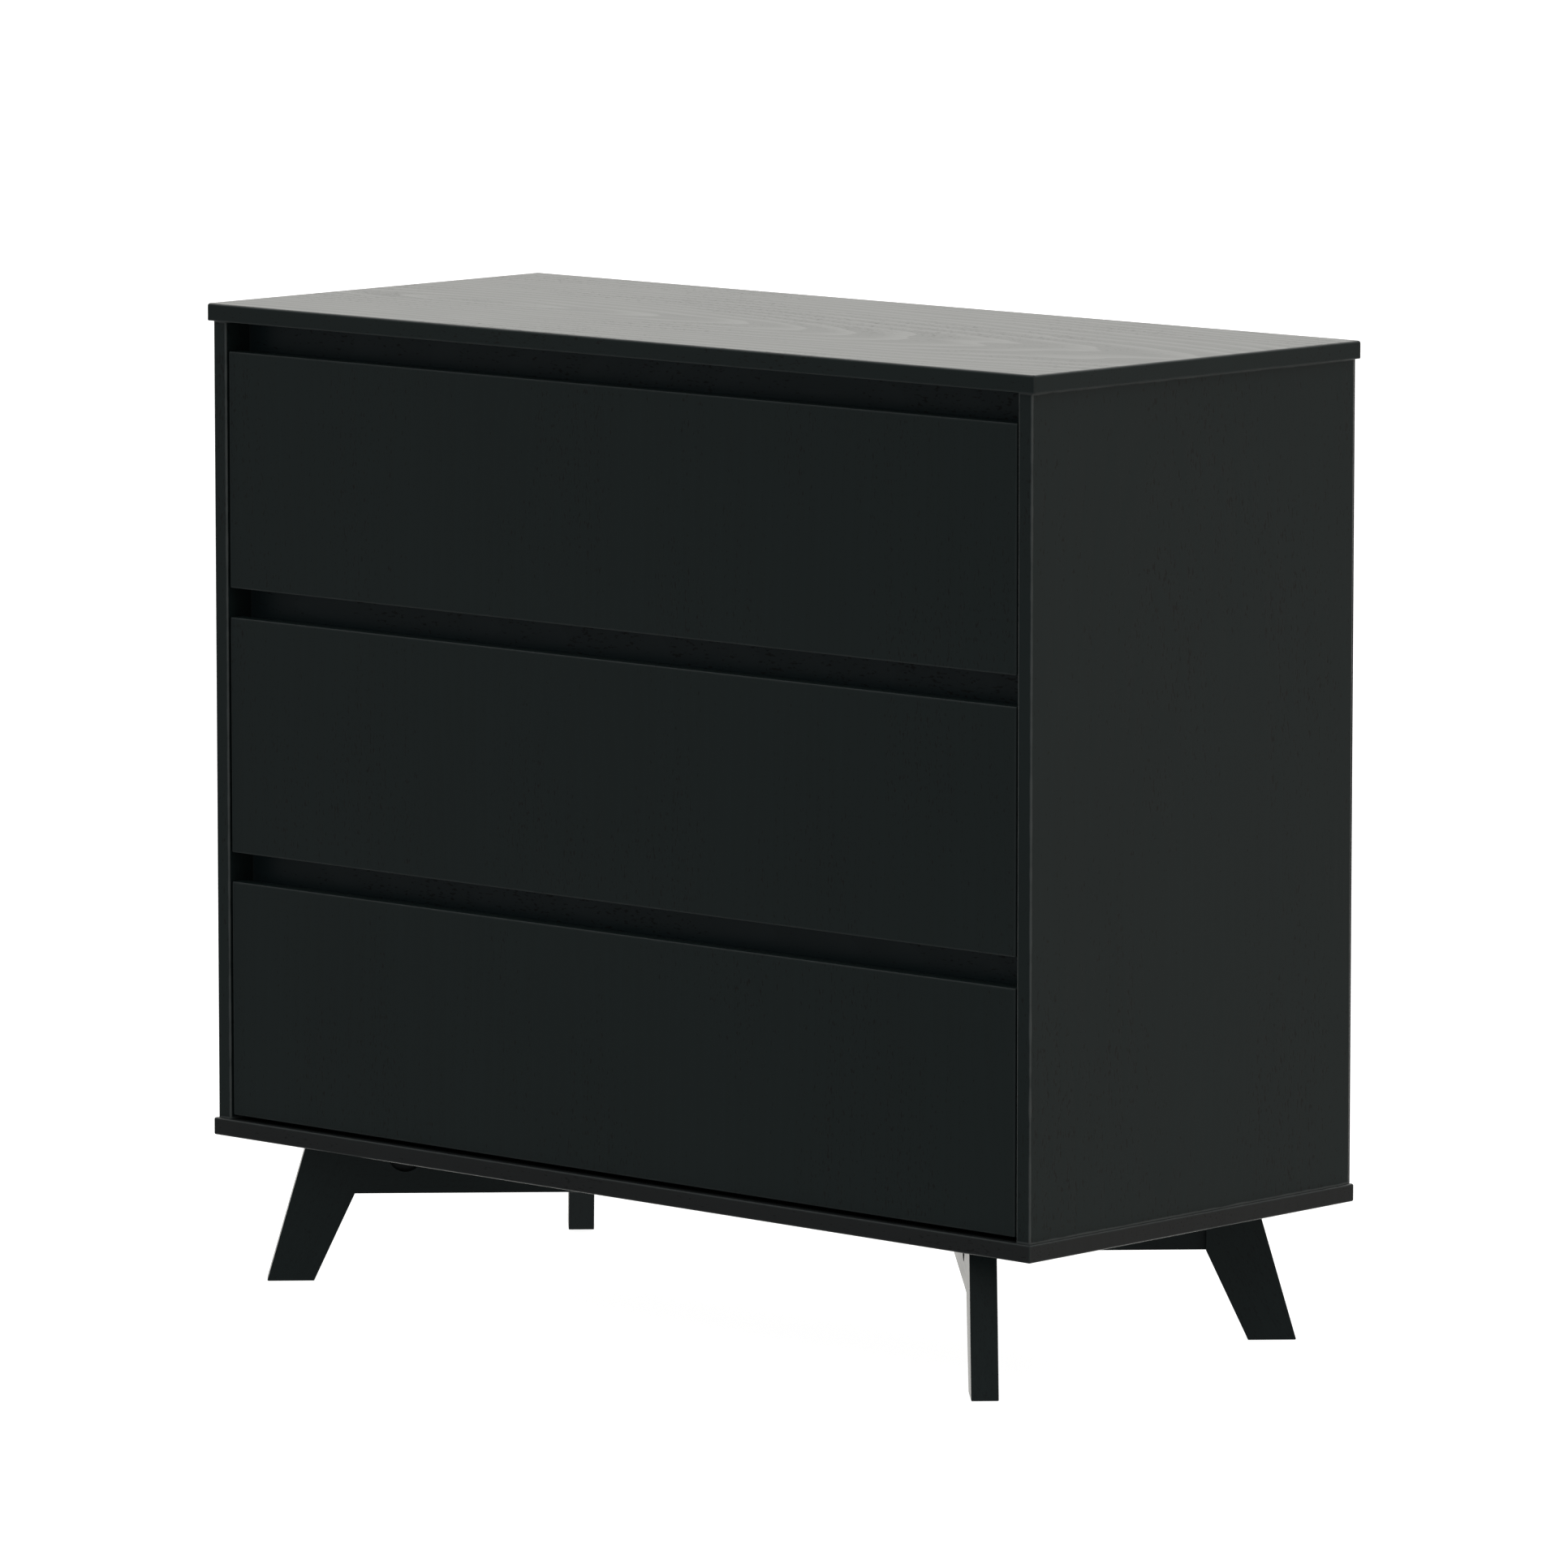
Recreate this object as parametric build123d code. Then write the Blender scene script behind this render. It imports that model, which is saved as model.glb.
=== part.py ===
from build123d import *
import os

# A low chest with three handle-less drawers on four splayed legs set at 45 degrees.
# Millimetres. X runs to the right, Y to the back, Z up; the origin is on the floor under the centre.

# ---- driving dimensions: boards and cabinet ----
BOARD = 16.0
TOP_WIDTH = 1004.0
BOTTOM_WIDTH = 1000.0
SLAB_DEPTH = 433.0
CARCASS_WIDTH = 994.0
SLAB_OVERHANG = 3.5
LEG_HEIGHT = 129.0
BACK_THICKNESS = 3.0
BACK_REVEAL = 2.0

# ---- driving dimensions: radii of the rounded board edges ----
TOP_EASE = 2.5
TOP_UNDERSIDE_EASE = 1.0
PANEL_EASE = 1.8
FRONT_EASE = 1.1
LEG_EASE = 0.9

# ---- driving dimensions: drawers ----
FRONT_WIDTH = 957.0
FRONT_HEIGHT = 216.0
FRONT_SETBACK = 1.3
FINGER_GAP = 27.0
BOTTOM_GAP = 4.0
BOX_BOARD = 12.0
BOX_HEIGHT = 168.0
BOX_DEPTH = 380.0
BOX_RISE = 18.0
BOTTOM_SHEET = 3.0
SHEET_RISE = 12.0
SHEET_TUCK = 5.0
SHEET_PLAY = 0.3
SHEET_SCREW_PLACES = (-300.0, -100.0, 100.0, 300.0)
BOX_FIXING_DROP = 30.0
BOX_CAM_DROP = 8.0
DRAWERS = ("bottom", "middle", "top")

# ---- driving dimensions: recessed front rails ----
RAIL_SETBACK = 29.0
RAIL_OVERLAP = 10.0
RAIL_CAM_DROP = 8.0
RAIL_DOWEL_RISE = 10.0

# ---- driving dimensions: telescopic slides ----
SLIDE_LENGTH = 350.0
SLIDE_THICKNESS = 12.5
SLIDE_RISE = 40.0
SLIDE_START = 2.7
OUTER_HALF, OUTER_WALL = 22.5, 1.2
OUTER_REACH, OUTER_LIP = 9.6, 2.9
MIDDLE_HALF, MIDDLE_WALL = 18.5, 1.0
MIDDLE_FROM, MIDDLE_REACH = 3.4, 10.8
INNER_HALF, INNER_WALL = 14.2, 1.2
INNER_FROM = 5.4
SLIDE_SCREW_PLACES = (30.0, 160.0, 310.0)

# ---- driving dimensions: legs and braces, along a line at 45 degrees inwards from the corner ----
FOOT_X, FOOT_Y = 440.8, 207.1
LEG_THICKNESS = 24.0
FOOT_LENGTH = 43.0
LEG_TOP_OUTER = 37.0
LEG_TOP_INNER = 80.7
BRACE_HEIGHT = 48.0
BRACE_THICKNESS = 17.0
POCKET_RADIUS = 16.0
POCKET_DEPTH = 8.0
POCKET_DROP = 12.0
POCKET_PLACE = 127.0
BRACKET_WALL, BRACKET_WIDTH, BRACKET_HEIGHT = 1.5, 12.0, 20.0
BRACKET_SCREW_DROP, BRACKET_SCREW_REACH = 13.0, 3.4
GLIDE_RADIUS, GLIDE_THICKNESS, GLIDE_PROUD = 8.0, 2.5, 0.5
GLIDE_SPIKE_RADIUS, GLIDE_SPIKE_LENGTH = 1.5, 14.0

# ---- driving dimensions: fittings ----
CAM_RADIUS = 7.5
CAM_DEPTH = 12.5
CAM_DISTANCE = 34.0
CAM_BOLT_RADIUS = 3.5
CAM_BOLT_NECK = 2.5
CAM_THREAD_LENGTH = 11.0
BOX_CAM_DEPTH = 9.5
BOX_CAM_DISTANCE = 24.0
CAM_WALL = 1.0
CAM_BOLT_END_GAP = 2.0
CAM_SLOT_LENGTH, CAM_SLOT_WIDTH, CAM_SLOT_DEPTH = 9.0, 1.6, 1.6
DOWEL_RADIUS = 4.0
DOWEL_IN_EDGE = 20.0
DOWEL_IN_FACE = 10.0
LEG_DOWEL_DROPS = (14.0, 34.0)
LEG_DOWEL_DEPTHS = (16.0, 14.0)
MITRE_DOWEL_RADIUS, MITRE_DOWEL_DEPTH = 3.0, 8.0
HOLE_PLAY = 0.05
CAM_PLACES = (-150.0, 150.0)
DOWEL_PLACES = (-118.0, 118.0)
NAILS_PER_SIDE = 7
NAIL_MARGIN = 25.0

# ---- driving dimensions of nails and pan-head screws: length, shank radius, head radius, head height ----
BACK_NAIL = (20.0, 0.7, 1.8, 0.4)
CABINET_RUNNER_SCREW = (12.0, 1.75, 3.6, 1.7)
DRAWER_RUNNER_SCREW = (10.0, 1.75, 3.6, 1.7)
BOX_BACK_SCREW = (38.0, 2.2, 3.8, 1.5)
SHEET_SCREW = (18.0, 1.5, 3.2, 1.4)
LEG_BOLT = (52.0, 3.0, 6.5, 2.2)
BRACKET_BRACE_SCREW = (9.0, 1.5, 2.9, 1.3)
BRACKET_SLAB_SCREW = (13.0, 1.5, 2.9, 1.3)
# the rounding and the depth of the cross are shares of the head's height, its length and width of the radius
HEAD_ROUNDING, RECESS_DEPTH = 0.6, 0.6
RECESS_LENGTH, RECESS_WIDTH = 1.15, 0.27

# ---- levels and planes worked out from them ----
BODY_HEIGHT = 2 * BOARD + BOTTOM_GAP + len(DRAWERS) * (FRONT_HEIGHT + FINGER_GAP)
FLOOR_OF_BODY = LEG_HEIGHT + BOARD
CEILING_OF_BODY = LEG_HEIGHT + BODY_HEIGHT - BOARD
FRONT_EDGE = -SLAB_DEPTH / 2 + SLAB_OVERHANG
BACK_EDGE = SLAB_DEPTH / 2 - SLAB_OVERHANG
INNER_X = CARCASS_WIDTH / 2 - BOARD
SIDE_MIDDLE_X = CARCASS_WIDTH / 2 - BOARD / 2
FRONT_FACE = FRONT_EDGE + FRONT_SETBACK
FRONT_BACK = FRONT_FACE + BOARD
RAIL_FACE = FRONT_FACE + RAIL_SETBACK
BOX_X = INNER_X - SLIDE_THICKNESS
SLIDE_FRONT = FRONT_BACK + SLIDE_START
FLUSH_SIDE = LEG_THICKNESS / 2
STEP_SIDE = FLUSH_SIDE - BRACE_THICKNESS
BRACE_MIDDLE = (FLUSH_SIDE + STEP_SIDE) / 2
DIAGONAL = 0.5 ** 0.5

cuts = {}
parts = {}


def board(x0, x1, y0, y1, z0, z1):
    """A rectangular board between two corners."""
    centre = Pos((x0 + x1) / 2, (y0 + y1) / 2, (z0 + z1) / 2)
    return centre * Box(x1 - x0, y1 - y0, z1 - z0)


def rod(radius, start, end):
    """A round rod between two points."""
    axis = Vector(*end) - Vector(*start)
    whole = Cylinder(radius, axis.length, align=(Align.CENTER, Align.CENTER, Align.MIN))
    return Plane(origin=start, z_dir=axis) * whole


def along(point, direction, distance):
    """The point moved by a distance in a direction."""
    return tuple(p + d * distance for p, d in zip(point, direction))


def drill(node, shape):
    """Remember a hole to be cut in a node."""
    cuts.setdefault(node, []).append(shape)


def group(name, shape):
    """Add one more solid to a node of identical loose pieces."""
    parts.setdefault(name, []).append(shape)


def drill_rod(node, radius, start, end):
    """Remember a round hole, a hair wider than the rod that goes into it."""
    drill(node, rod(radius + HOLE_PLAY, start, end))


def cross_recess(length, width, depth):
    """Two crossed slots, cut down from the level z = 0."""
    return Box(length, width, 2 * depth) + Box(width, length, 2 * depth)


def drive_in(name, head, seat, into, size, holes):
    """Add a shank under a head that stands on the seat, and drill it through the nodes in holes."""
    length, radius = size[:2]
    shank = Pos(0, 0, -length / 2) * Cylinder(radius, length)
    outward = tuple(-d for d in into)
    group(name, Plane(origin=seat, z_dir=outward) * (head + shank))
    for node in holes:
        drill_rod(node, radius, seat, along(seat, into, length))


def nail(name, seat, into, size, holes):
    """A wire nail with a thin flat head."""
    head_radius, head_height = size[2:]
    head = Pos(0, 0, head_height / 2) * Cylinder(head_radius, head_height)
    drive_in(name, head, seat, into, size, holes)


def screw(name, seat, into, size, holes):
    """A pan-head screw: a head with a rounded rim and a cross recess."""
    head_radius, head_height = size[2:]
    head = Pos(0, 0, head_height / 2) * Cylinder(head_radius, head_height)
    head = fillet(head.edges().sort_by(Axis.Z)[-1], head_height * HEAD_ROUNDING)
    recess = cross_recess(head_radius * RECESS_LENGTH, head_radius * RECESS_WIDTH, head_height * RECESS_DEPTH)
    drive_in(name, head - Pos(0, 0, head_height) * recess, seat, into, size, holes)


def cam_joint(point, inward, face, board_nodes, names,
              thickness=BOARD, depth=CAM_DEPTH, distance=CAM_DISTANCE):
    """A cam lock in one board and its bolt, screwed into the board that the first one meets.

    The point lies on the joint at mid-thickness; inward leads into the cam's board, face out of it.
    """
    cam_board, bolt_board = board_nodes
    cam_name, bolt_name = names
    outward = tuple(-d for d in inward)
    cam_axis = along(point, inward, distance)
    mouth = along(cam_axis, face, thickness / 2)
    root = along(mouth, face, -depth)
    neck = along(point, inward, distance - CAM_RADIUS + CAM_WALL)
    tip = along(point, outward, CAM_THREAD_LENGTH)
    bolt = rod(CAM_BOLT_RADIUS, tip, neck)
    bolt += rod(CAM_BOLT_NECK, neck, along(cam_axis, inward, -CAM_BOLT_END_GAP))
    far_side = along(cam_axis, inward, CAM_RADIUS - CAM_WALL)
    cam = rod(CAM_RADIUS, root, mouth) - rod(CAM_BOLT_RADIUS + HOLE_PLAY, point, far_side)
    slots = cross_recess(CAM_SLOT_LENGTH, CAM_SLOT_WIDTH, CAM_SLOT_DEPTH)
    cam -= Plane(origin=mouth, x_dir=inward, z_dir=face) * slots
    group(cam_name, cam)
    group(bolt_name, bolt)
    drill_rod(cam_board, CAM_RADIUS, root, along(mouth, face, CAM_WALL))
    drill_rod(cam_board, CAM_BOLT_RADIUS, point, cam_axis)
    drill_rod(bolt_board, CAM_BOLT_RADIUS, tip, point)


def dowel(name, point, inward, edge_node, face_node,
          radius=DOWEL_RADIUS, depths=(DOWEL_IN_EDGE, DOWEL_IN_FACE)):
    """A plain dowel across a joint, with its longer end in the board that meets the other end on."""
    inner = along(point, inward, depths[0])
    outer = along(point, inward, -depths[1])
    group(name, rod(radius, outer, inner))
    drill_rod(edge_node, radius, outer, inner)
    drill_rod(face_node, radius, outer, inner)


# ---- cabinet: two slabs, two sides, a back and three recessed rails ----
def make_cabinet():
    half_depth = SLAB_DEPTH / 2
    top = board(-TOP_WIDTH / 2, TOP_WIDTH / 2, -half_depth, half_depth,
                CEILING_OF_BODY, CEILING_OF_BODY + BOARD)
    top = fillet(top.edges().filter_by(Axis.Z) + top.edges().group_by(Axis.Z)[-1], TOP_EASE)
    parts["top_panel"] = fillet(top.edges().group_by(Axis.Z)[0], TOP_UNDERSIDE_EASE)
    bottom = board(-BOTTOM_WIDTH / 2, BOTTOM_WIDTH / 2, -half_depth, half_depth,
                   LEG_HEIGHT, FLOOR_OF_BODY)
    parts["bottom_panel"] = fillet(bottom.edges(), PANEL_EASE)
    outer_x = CARCASS_WIDTH / 2
    for hand, x_low, x_high in (("left", -outer_x, -INNER_X), ("right", INNER_X, outer_x)):
        panel = board(x_low, x_high, FRONT_EDGE, BACK_EDGE, FLOOR_OF_BODY, CEILING_OF_BODY)
        parts[f"{hand}_side_panel"] = fillet(panel.edges().filter_by(Axis.Z), PANEL_EASE)
    back_x = outer_x - BACK_REVEAL
    parts["back_panel"] = board(-back_x, back_x, BACK_EDGE, BACK_EDGE + BACK_THICKNESS,
                                FLOOR_OF_BODY, CEILING_OF_BODY)
    nail_step = (CEILING_OF_BODY - FLOOR_OF_BODY - 2 * NAIL_MARGIN) / (NAILS_PER_SIDE - 1)
    for side, name in ((-1, "left_side_panel"), (1, "right_side_panel")):
        for level, up, slab in ((FLOOR_OF_BODY, 1, "bottom_panel"), (CEILING_OF_BODY, -1, "top_panel")):
            for place in CAM_PLACES:
                joint = (side * SIDE_MIDDLE_X, place, level)
                cam_joint(joint, (0, 0, up), (-side, 0, 0), (name, slab), ("cam_locks", "cam_bolts"))
            for place in DOWEL_PLACES:
                joint = (side * SIDE_MIDDLE_X, place, level)
                dowel("cabinet_dowels", joint, (0, 0, up), name, slab)
        for i in range(NAILS_PER_SIDE):
            nail_z = FLOOR_OF_BODY + NAIL_MARGIN + i * nail_step
            seat = (side * SIDE_MIDDLE_X, BACK_EDGE + BACK_THICKNESS, nail_z)
            nail("back_panel_nails", seat, (0, -1, 0), BACK_NAIL, ("back_panel", name))


def front_level(index):
    """Height of the lower edge of a drawer front, counted from the lowest drawer."""
    return FLOOR_OF_BODY + BOTTOM_GAP + index * (FRONT_HEIGHT + FINGER_GAP)


def make_rail(name, low, high):
    """A recessed rail that closes a finger gap at the back, held by a cam and a dowel at each end."""
    parts[name] = board(-INNER_X, INNER_X, RAIL_FACE, RAIL_FACE + BOARD, low, high)
    middle_y = RAIL_FACE + BOARD / 2
    middle_z = (low + high) / 2
    for side, panel in ((-1, "left_side_panel"), (1, "right_side_panel")):
        joint = (side * INNER_X, middle_y, middle_z - RAIL_CAM_DROP)
        cam_joint(joint, (-side, 0, 0), (0, 1, 0), (name, panel), ("cam_locks", "cam_bolts"))
        joint = (side * INNER_X, middle_y, middle_z + RAIL_DOWEL_RISE)
        dowel("cabinet_dowels", joint, (-side, 0, 0), name, panel)


def make_rails():
    names = ("lower_middle_rail", "upper_middle_rail")
    for index, name in enumerate(names):
        gap_low = front_level(index) + FRONT_HEIGHT
        make_rail(name, gap_low - RAIL_OVERLAP, gap_low + FINGER_GAP + RAIL_OVERLAP)
    make_rail("top_rail", CEILING_OF_BODY - FINGER_GAP - RAIL_OVERLAP, CEILING_OF_BODY)


# ---- telescopic slides: three nested channels on each side of a drawer ----
def channel(side, level, depth_range, half_height, wall, web_at):
    """A pressed steel channel along Y; depths are measured from the cabinet side towards the drawer."""
    near, far = depth_range
    web_from = near if web_at == "near" else far - wall
    shape = slide_box(side, level, web_from, web_from + wall, -half_height, half_height)
    shape += slide_box(side, level, near, far, half_height - wall, half_height)
    shape += slide_box(side, level, near, far, -half_height, wall - half_height)
    return shape


def slide_box(side, level, near, far, low, high):
    """A length of slide wall, between two depths and two heights about the slide's middle line."""
    x_near = side * (INNER_X - near)
    x_far = side * (INNER_X - far)
    return board(min(x_near, x_far), max(x_near, x_far), SLIDE_FRONT, SLIDE_FRONT + SLIDE_LENGTH,
                 level + low, level + high)


def make_slides(drawer, box_low):
    level = box_low + SLIDE_RISE
    for side, hand in ((-1, "left"), (1, "right")):
        outer = channel(side, level, (0, OUTER_REACH), OUTER_HALF, OUTER_WALL, "near")
        lip_from = OUTER_REACH - OUTER_WALL
        outer += slide_box(side, level, lip_from, OUTER_REACH, OUTER_HALF - OUTER_LIP, OUTER_HALF)
        outer += slide_box(side, level, lip_from, OUTER_REACH, -OUTER_HALF, OUTER_LIP - OUTER_HALF)
        middle = channel(side, level, (MIDDLE_FROM, MIDDLE_REACH), MIDDLE_HALF, MIDDLE_WALL, "near")
        inner = channel(side, level, (INNER_FROM, SLIDE_THICKNESS), INNER_HALF, INNER_WALL, "far")
        cabinet_member = f"{drawer}_{hand}_cabinet_runner"
        drawer_member = f"{drawer}_{hand}_drawer_runner"
        parts[cabinet_member] = outer
        parts[drawer_member] = inner
        group(f"{drawer}_intermediate_runners", middle)
        for place in SLIDE_SCREW_PLACES:
            seat = (side * (INNER_X - OUTER_WALL), SLIDE_FRONT + place, level)
            screw("cabinet_runner_screws", seat, (side, 0, 0), CABINET_RUNNER_SCREW,
                  (cabinet_member, f"{hand}_side_panel"))
            seat = (side * (BOX_X + INNER_WALL), SLIDE_FRONT + place, level)
            screw(f"{drawer}_drawer_fittings", seat, (-side, 0, 0), DRAWER_RUNNER_SCREW,
                  (drawer_member, f"{drawer}_drawer_{hand}_side"))


# ---- drawers: a full front, two sides, a back and a thin bottom in grooves ----
def make_drawer(index, drawer):
    front_low = front_level(index)
    box_low = front_low + BOX_RISE
    box_high = box_low + BOX_HEIGHT
    box_back = FRONT_BACK + BOX_DEPTH
    front = f"{drawer}_drawer_front"
    back = f"{drawer}_drawer_back"
    fittings = f"{drawer}_drawer_fittings"
    panel = board(-FRONT_WIDTH / 2, FRONT_WIDTH / 2, FRONT_FACE, FRONT_BACK,
                  front_low, front_low + FRONT_HEIGHT)
    parts[front] = fillet(panel.edges(), FRONT_EASE)
    sheet_low = box_low + SHEET_RISE
    sheet_high = sheet_low + BOTTOM_SHEET
    inside_x = BOX_X - BOX_BOARD
    parts[back] = board(-inside_x, inside_x, box_back - BOX_BOARD, box_back, sheet_high, box_high)
    sheet_x = inside_x + SHEET_TUCK
    parts[f"{drawer}_drawer_bottom"] = board(-sheet_x + SHEET_PLAY, sheet_x - SHEET_PLAY,
                                             FRONT_BACK - SHEET_TUCK + SHEET_PLAY, box_back,
                                             sheet_low, sheet_high)
    groove = board(-sheet_x, sheet_x, FRONT_BACK - SHEET_TUCK, box_back,
                   sheet_low - HOLE_PLAY, sheet_high + HOLE_PLAY)
    drill(front, groove)
    for side, hand in ((-1, "left"), (1, "right")):
        name = f"{drawer}_drawer_{hand}_side"
        x_low, x_high = sorted((side * inside_x, side * BOX_X))
        parts[name] = board(x_low, x_high, FRONT_BACK, box_back, box_low, box_high)
        drill(name, groove)
        middle_x = side * (BOX_X - BOX_BOARD / 2)
        for height in (SLIDE_RISE - BOX_CAM_DROP, BOX_HEIGHT - BOX_FIXING_DROP):
            joint = (middle_x, FRONT_BACK, box_low + height)
            cam_joint(joint, (0, 1, 0), (-side, 0, 0), (name, front), (fittings, fittings),
                      BOX_BOARD, BOX_CAM_DEPTH, BOX_CAM_DISTANCE)
        for height in (SLIDE_RISE, BOX_HEIGHT - BOX_FIXING_DROP):
            seat = (side * BOX_X, box_back - BOX_BOARD / 2, box_low + height)
            screw(fittings, seat, (-side, 0, 0), BOX_BACK_SCREW, (name, back))
    for place in SHEET_SCREW_PLACES:
        seat = (place, box_back - BOX_BOARD / 2, sheet_low)
        screw(fittings, seat, (0, 0, 1), SHEET_SCREW, (f"{drawer}_drawer_bottom", back))
    make_slides(drawer, box_low)


# ---- legs: a splayed flat leg and a brace rail in the same upright plane at each corner ----
def corner_frame(side_x, side_y):
    """Frame at a foot: x runs inwards at 45 degrees, y towards the braces' flush face, z up."""
    inward = Vector(-side_x * DIAGONAL, -side_y * DIAGONAL, 0)
    flush = Vector(-side_x * DIAGONAL, side_y * DIAGONAL, 0)
    origin = Vector(side_x * FOOT_X, side_y * FOOT_Y, LEG_HEIGHT)

    def place(reach, offset, drop):
        spot = origin + inward * reach + flush * offset
        return (spot.X, spot.Y, spot.Z - drop)

    return place, tuple(inward), tuple(flush)


def make_leg(side_x, side_y, corner):
    place, inward, flush = corner_frame(side_x, side_y)
    leg = f"{corner}_leg"
    brace = f"{corner}_leg_brace"
    foot = LEG_HEIGHT - GLIDE_PROUD
    outline = [(0, foot), (FOOT_LENGTH, foot), (LEG_TOP_INNER, BRACE_HEIGHT),
               (LEG_TOP_INNER, 0), (LEG_TOP_OUTER, 0)]
    face = Face(Wire.make_polygon([place(reach, -FLUSH_SIDE, drop) for reach, drop in outline]))
    blank = extrude(face, LEG_THICKNESS, dir=flush)
    # the edges that are neither level nor upright, and those around the foot
    slopes = blank.edges().filter_by(lambda edge: 0.1 < abs((edge % 0.5).Z) < 0.99)
    parts[leg] = fillet(slopes + blank.edges().group_by(Axis.Z)[0], LEG_EASE)

    mitre = FOOT_Y / DIAGONAL
    plan = [(LEG_TOP_INNER, STEP_SIDE), (LEG_TOP_INNER, FLUSH_SIDE),
            (mitre + FLUSH_SIDE, FLUSH_SIDE), (mitre + STEP_SIDE, STEP_SIDE)]
    face = Face(Wire.make_polygon([place(reach, offset, BRACE_HEIGHT) for reach, offset in plan]))
    blank = extrude(face, BRACE_HEIGHT, dir=(0, 0, 1))
    long_edges = blank.edges().group_by(Axis.Z)[0].sort_by(SortBy.LENGTH)[-2:]
    parts[brace] = fillet(long_edges, LEG_EASE)

    pocket_floor = FLUSH_SIDE - POCKET_DEPTH
    pocket = rod(POCKET_RADIUS, place(POCKET_PLACE, pocket_floor, POCKET_DROP),
                 place(POCKET_PLACE, FLUSH_SIDE + POCKET_DEPTH, POCKET_DROP))
    drill(brace, pocket)
    make_bracket(place, inward, flush, pocket_floor, brace)

    for drop in LEG_DOWEL_DROPS:
        joint = place(LEG_TOP_INNER, BRACE_MIDDLE, drop)
        dowel("leg_dowels", joint, inward, brace, leg, depths=LEG_DOWEL_DEPTHS)
    top_middle = (LEG_TOP_INNER + LEG_TOP_OUTER) / 2
    seat = place(top_middle, 0, -BOARD)
    screw("leg_bolts", seat, (0, 0, -1), LEG_BOLT, ("bottom_panel", leg))
    make_glide(place(FOOT_LENGTH / 2, 0, LEG_HEIGHT), leg)


def make_bracket(place, inward, flush, pocket_floor, brace):
    """A small steel angle inside the pocket, screwed back into the brace and up into the cabinet."""
    wall = BRACKET_WALL
    shelf = pocket_floor + POCKET_DEPTH
    inner_face = pocket_floor + wall
    upright = [(pocket_floor, 0), (shelf, 0), (shelf, wall), (inner_face, wall),
               (inner_face, BRACKET_HEIGHT), (pocket_floor, BRACKET_HEIGHT)]
    start = POCKET_PLACE - BRACKET_WIDTH / 2
    face = Face(Wire.make_polygon([place(start, offset, drop) for offset, drop in upright]))
    group("leg_brackets", extrude(face, BRACKET_WIDTH, dir=inward))
    back = tuple(-d for d in flush)
    into_brace = place(POCKET_PLACE, inner_face, BRACKET_SCREW_DROP)
    screw("leg_bracket_screws", into_brace, back, BRACKET_BRACE_SCREW, (brace,))
    into_slab = place(POCKET_PLACE, inner_face + BRACKET_SCREW_REACH, wall)
    screw("leg_bracket_screws", into_slab, (0, 0, 1), BRACKET_SLAB_SCREW, ("bottom_panel",))
    shank_radius = BRACKET_SLAB_SCREW[1]
    for seat, direction in ((into_brace, back), (into_slab, (0, 0, 1))):
        above = along(seat, direction, -wall)
        drill_rod("leg_brackets", shank_radius, above, along(above, direction, 3 * wall))


def make_glide(spot, leg):
    """A plastic glide let into the foot, with a short spike that holds it."""
    base = (spot[0], spot[1], 0)
    disc_top = (spot[0], spot[1], GLIDE_THICKNESS)
    spike_top = (spot[0], spot[1], GLIDE_THICKNESS + GLIDE_SPIKE_LENGTH)
    group("foot_glides", rod(GLIDE_RADIUS, base, disc_top) + rod(GLIDE_SPIKE_RADIUS, disc_top, spike_top))
    drill_rod(leg, GLIDE_RADIUS, base, disc_top)
    drill_rod(leg, GLIDE_SPIKE_RADIUS, disc_top, spike_top)


def join_braces():
    """Two dowels across each mitre where a front and a rear brace meet."""
    mitre_x = FOOT_X - FOOT_Y - 2 * BRACE_MIDDLE * DIAGONAL
    depths = (MITRE_DOWEL_DEPTH, MITRE_DOWEL_DEPTH)
    for side, hand in ((-1, "left"), (1, "right")):
        for drop in LEG_DOWEL_DROPS:
            joint = (side * (mitre_x + MITRE_DOWEL_DEPTH / 2), 0, LEG_HEIGHT - drop)
            dowel("leg_dowels", joint, (0, 1, 0), f"rear_{hand}_leg_brace", f"front_{hand}_leg_brace",
                  MITRE_DOWEL_RADIUS, depths)


def write_parts():
    """Cut the remembered holes and write one STEP file for each node."""
    os.makedirs("parts", exist_ok=True)
    for name, shape in parts.items():
        pieces = shape if isinstance(shape, list) else [shape]
        for hole in cuts.get(name, []):
            pieces = [piece - hole for piece in pieces]
        solids = [solid for piece in pieces for solid in piece.solids()]
        whole = solids[0] if len(solids) == 1 else Compound(solids)
        export_step(whole, f"parts/{name}.step")


make_cabinet()
make_rails()
for index, drawer in enumerate(DRAWERS):
    make_drawer(index, drawer)
for side_y, depth_name in ((-1, "front"), (1, "rear")):
    for side_x, hand in ((-1, "left"), (1, "right")):
        make_leg(side_x, side_y, f"{depth_name}_{hand}")
join_braces()
write_parts()
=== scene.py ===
from functools import partial
import math

import bpy
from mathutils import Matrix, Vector


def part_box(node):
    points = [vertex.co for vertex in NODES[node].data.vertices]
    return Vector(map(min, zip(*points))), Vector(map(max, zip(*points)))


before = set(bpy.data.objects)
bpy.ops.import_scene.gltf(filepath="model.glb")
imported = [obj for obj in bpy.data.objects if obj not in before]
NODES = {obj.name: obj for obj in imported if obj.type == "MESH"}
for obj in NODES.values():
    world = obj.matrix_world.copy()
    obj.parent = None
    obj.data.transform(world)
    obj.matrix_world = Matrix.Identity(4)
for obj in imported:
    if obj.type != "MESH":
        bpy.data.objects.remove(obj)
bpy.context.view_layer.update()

DRAWERS = ("bottom", "middle", "top")
MM = 0.001


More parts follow.
